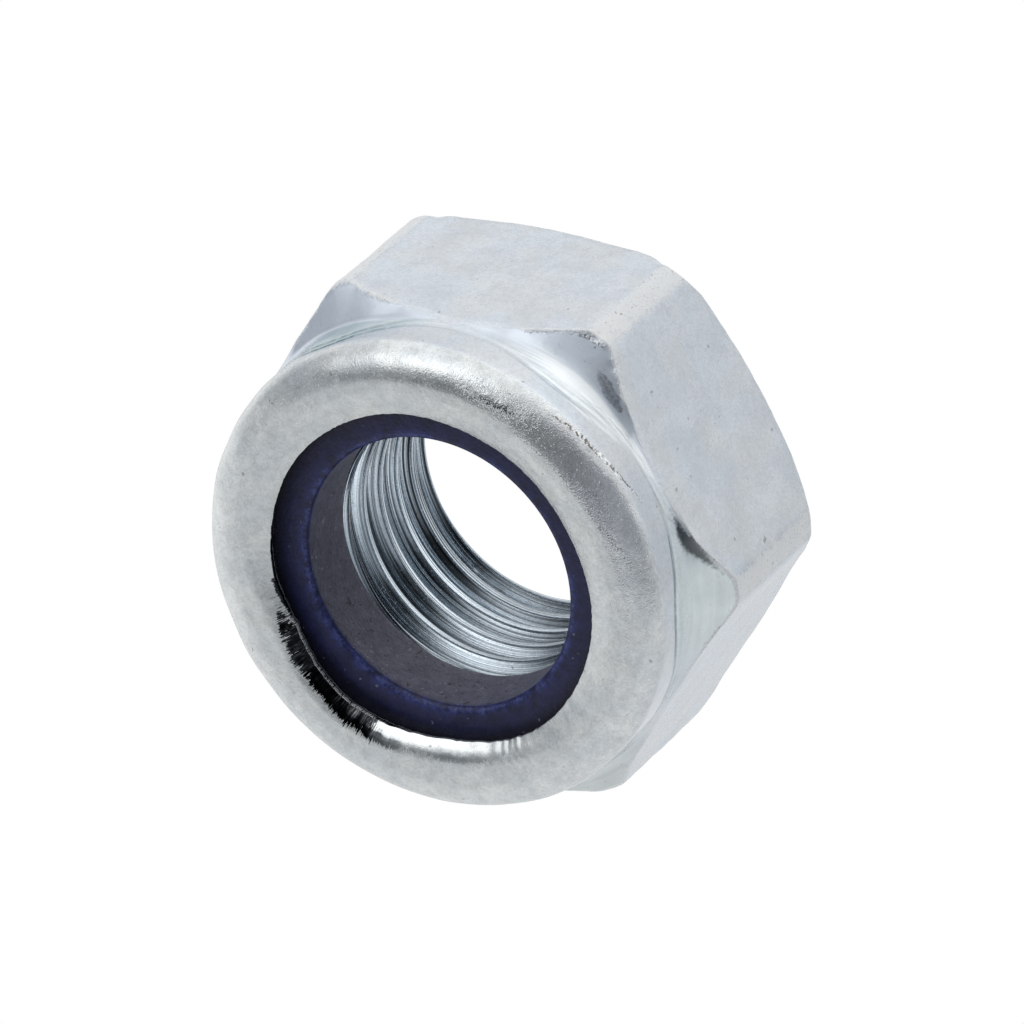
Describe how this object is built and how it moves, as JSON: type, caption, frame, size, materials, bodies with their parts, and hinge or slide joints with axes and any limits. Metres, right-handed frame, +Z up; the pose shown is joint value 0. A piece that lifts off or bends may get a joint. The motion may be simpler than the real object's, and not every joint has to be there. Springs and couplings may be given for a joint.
{
  "type": "nylon insert lock nut",
  "caption": "Hexagon lock nut with a nylon ring held in its rolled-over collar, so that the bolt can't shake loose.",
  "frame": {"origin": "middle of the bearing face, on the thread axis", "axes": "+Z up along the thread axis, from the bearing face to the rolled collar; +X through a corner of the hexagon, so that +Y is square to a flat"},
  "size_m": [0.0248, 0.022, 0.0133],
  "materials": {
    "zinc_plated_steel": "satin bright zinc plating",
    "blue_nylon": "satin moulded nylon"
  },
  "bodies": {
    "root": {"nut_body": "zinc_plated_steel", "nylon_ring": "blue_nylon"}
  },
  "joints": []
}
